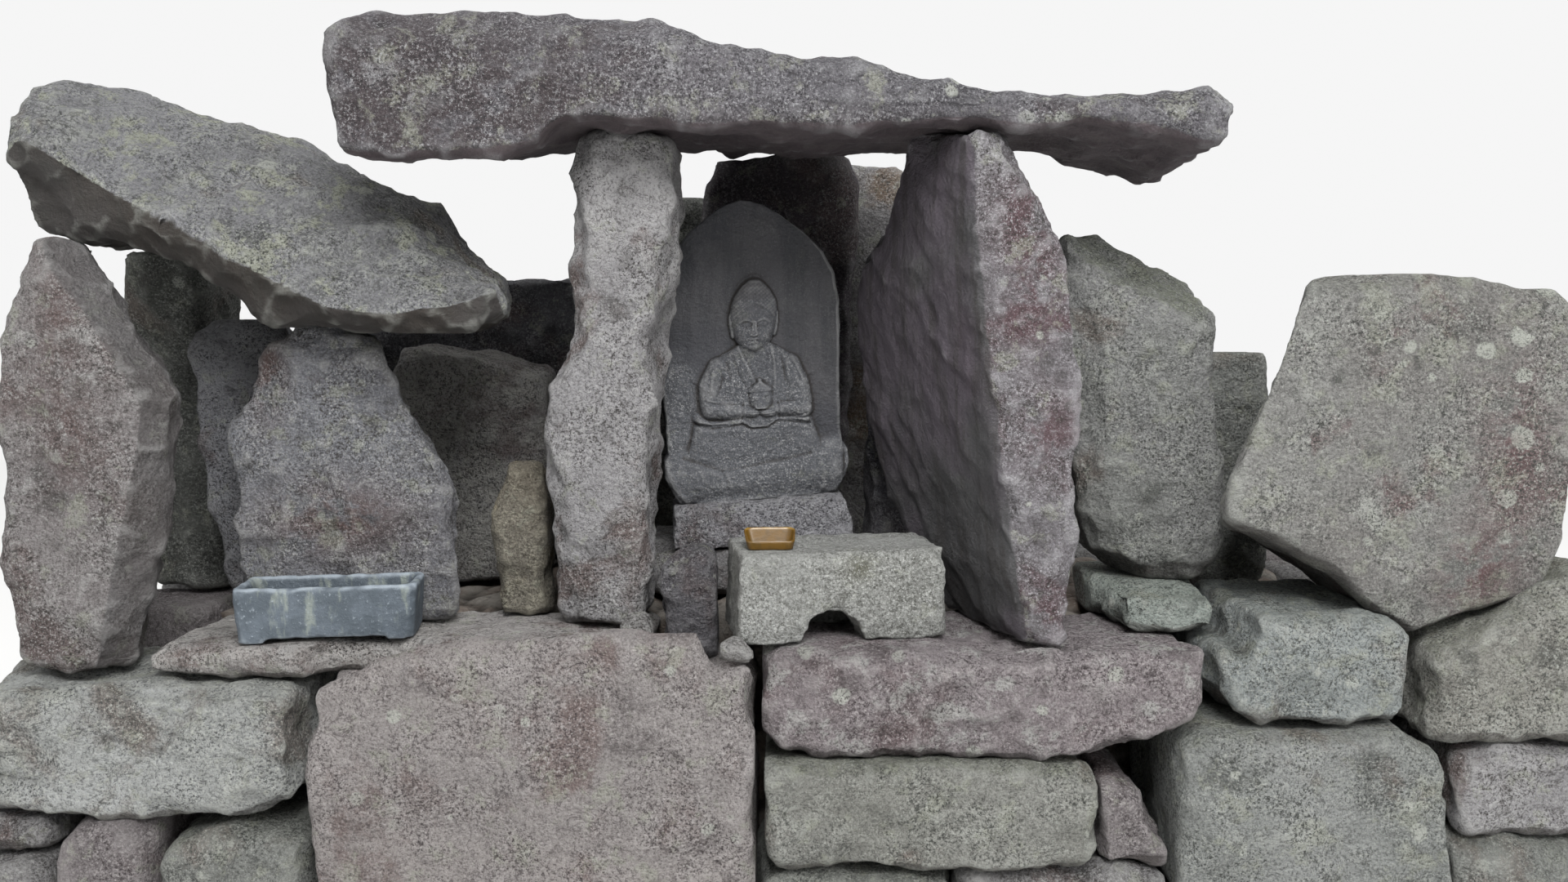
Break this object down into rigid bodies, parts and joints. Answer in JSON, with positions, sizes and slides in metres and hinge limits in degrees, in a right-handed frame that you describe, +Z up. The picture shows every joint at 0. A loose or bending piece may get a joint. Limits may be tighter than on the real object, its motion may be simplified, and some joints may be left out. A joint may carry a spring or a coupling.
{
  "type": "wayside shrine",
  "caption": "Dry-stone wayside shrine: a relief-carved seated figure on a pedestal under a roof slab on two uprights, on a coursed stone base with offering vessels.",
  "frame": {"origin": "on the ground under the middle of the base, on the flat bed of the rubble core", "axes": "+X to the visitor's right along the facing wall, +Y away from the visitor into the terrace, +Z up"},
  "size_m": [2.5, 1.0375, 1.5198],
  "materials": {
    "green_grey_stone": "rough, split, lichened",
    "dark_stone": "rough, split",
    "grey_granite": "rough, split",
    "purple_brown_stone": "rough, split, lichened",
    "carved_stone": "carved and weathered",
    "pale_granite": "pick-dressed",
    "dish_glaze": "worn yellow-brown glaze",
    "blue_grey_stone": "smooth, rubbed",
    "ochre_stone": "rough, stained",
    "rubble": "packed rubble"
  },
  "bodies": {
    "root": {"roof_slab": "dark_stone", "left_pillar": "grey_granite", "right_pillar": "purple_brown_stone", "cell_side_stone_left": "dark_stone", "cell_side_stone_right": "dark_stone", "back_stone_left": "green_grey_stone", "back_stone_centre": "purple_brown_stone", "back_stone_right": "grey_granite", "stele": "carved_stone", "pedestal": "carved_stone", "floor_stone": "grey_granite", "sill_stone_left": "dark_stone", "sill_stone_right": "grey_granite", "offering_table": "pale_granite", "offering_dish": "dish_glaze", "trough": "blue_grey_stone", "left_upright": "grey_granite", "left_capstone": "green_grey_stone", "left_leaning_slab": "grey_granite", "left_inner_stone": "dark_stone", "left_back_stone": "dark_stone", "left_rear_stone": "green_grey_stone", "left_rear_slab": "dark_stone", "left_short_stone": "ochre_stone", "right_upright": "green_grey_stone", "right_boulder": "green_grey_stone", "right_back_stone": "green_grey_stone", "terrace_slab_left": "grey_granite", "terrace_slab_right": "green_grey_stone", "chink_stones": "pale_granite", "wall_stone_far_left": "green_grey_stone", "wall_stone_left": "purple_brown_stone", "wall_stone_centre": "purple_brown_stone", "wall_stone_right": "green_grey_stone", "wall_stone_far_right": "green_grey_stone", "lower_stone_centre": "green_grey_stone", "lower_stone_wedge": "grey_granite", "lower_stone_right": "green_grey_stone", "lower_stone_far_right": "grey_granite", "foundation_course": "purple_brown_stone", "flank_course_lower": "green_grey_stone", "flank_course_middle": "green_grey_stone", "flank_course_upper": "green_grey_stone", "back_course_lower": "purple_brown_stone", "back_course_middle": "green_grey_stone", "back_course_upper": "purple_brown_stone", "rubble_core": "rubble"}
  },
  "joints": []
}
